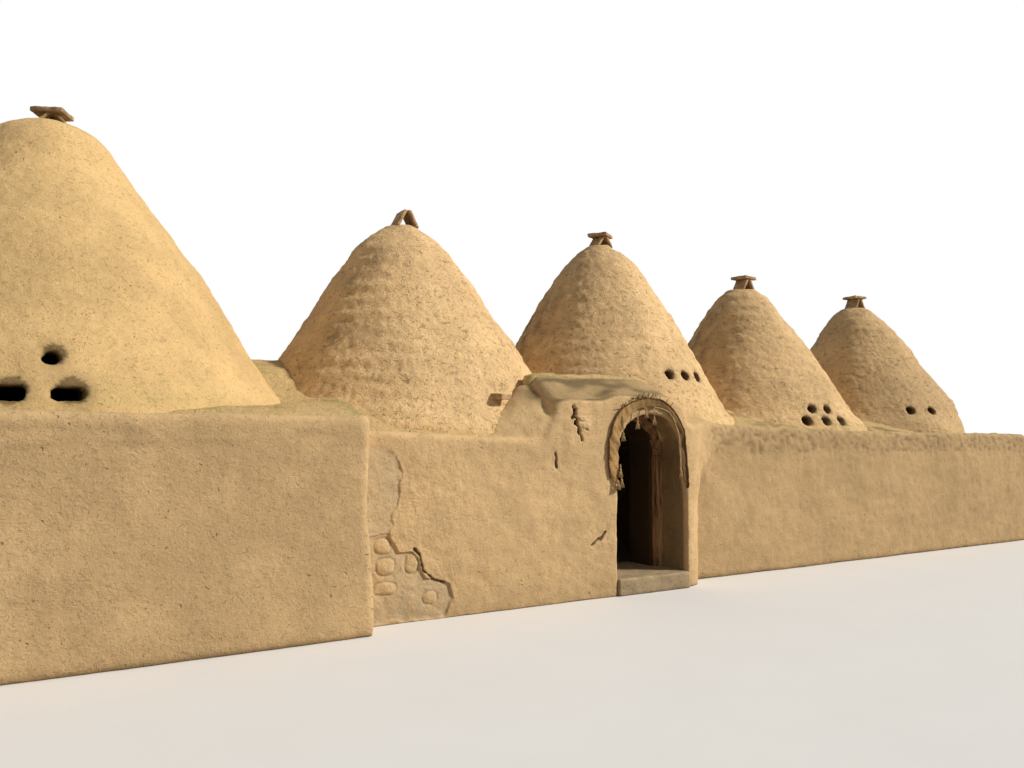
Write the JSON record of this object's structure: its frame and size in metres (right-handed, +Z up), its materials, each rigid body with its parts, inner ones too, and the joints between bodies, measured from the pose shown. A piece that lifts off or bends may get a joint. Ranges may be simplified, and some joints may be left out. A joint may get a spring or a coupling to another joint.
{
  "type": "beehive house row",
  "caption": "Row of domed mud-plastered masonry rooms with one arched doorway, smoke holes under leaning slabs and small air holes.",
  "frame": {"origin": "middle of the footprint, at the level of the lowest wall foot", "axes": "+X along the row, from the big room to the smallest; -Y out of the front with the doorway; +Z up"},
  "size_m": [18.4, 5.52, 5.29],
  "materials": {
    "mud_plaster": "rough mud and straw plaster",
    "dome_plaster": "rough mud and straw plaster, weathered",
    "roof_earth": "packed earth with dry grass",
    "cap_slabs": "rough fired clay",
    "sill_stone": "worn limestone",
    "corner_stone": "rough split stone",
    "door_wood": "old dark timber",
    "woven_band": "coarse woven wool and straw"
  },
  "bodies": {
    "root": {"back_wall_1": "mud_plaster", "back_wall_2": "mud_plaster", "back_wall_3": "mud_plaster", "corner_slabs_1": "corner_stone", "corner_slabs_2": "corner_stone", "corner_slabs_3": "corner_stone", "corner_slabs_4": "corner_stone", "corner_slabs_5": "corner_stone", "cross_wall_1": "mud_plaster", "cross_wall_2": "mud_plaster", "cross_wall_3": "mud_plaster", "cross_wall_4": "mud_plaster", "dome_1": "dome_plaster", "dome_2": "dome_plaster", "dome_3": "dome_plaster", "dome_4": "dome_plaster", "dome_5": "dome_plaster", "door_band": "woven_band", "door_frame_arch": "door_wood", "door_frame_posts": "door_wood", "door_sill": "sill_stone", "end_wall_left": "mud_plaster", "end_wall_right": "mud_plaster", "facing_wall": "mud_plaster", "front_wall_1": "mud_plaster", "front_wall_2": "mud_plaster", "front_wall_3": "mud_plaster", "front_wall_4": "mud_plaster", "front_wall_5": "mud_plaster", "porch_arch": "mud_plaster", "porch_left_pier": "mud_plaster", "porch_right_pier": "mud_plaster", "roof_ends": "roof_earth", "smoke_lids": "cap_slabs", "smoke_slabs_1": "cap_slabs", "smoke_slabs_2": "cap_slabs", "smoke_slabs_3": "cap_slabs", "smoke_slabs_4": "cap_slabs", "smoke_slabs_5": "cap_slabs", "valley_fill_1": "roof_earth", "valley_fill_2": "roof_earth", "valley_fill_3": "roof_earth", "valley_fill_4": "roof_earth"}
  },
  "joints": []
}
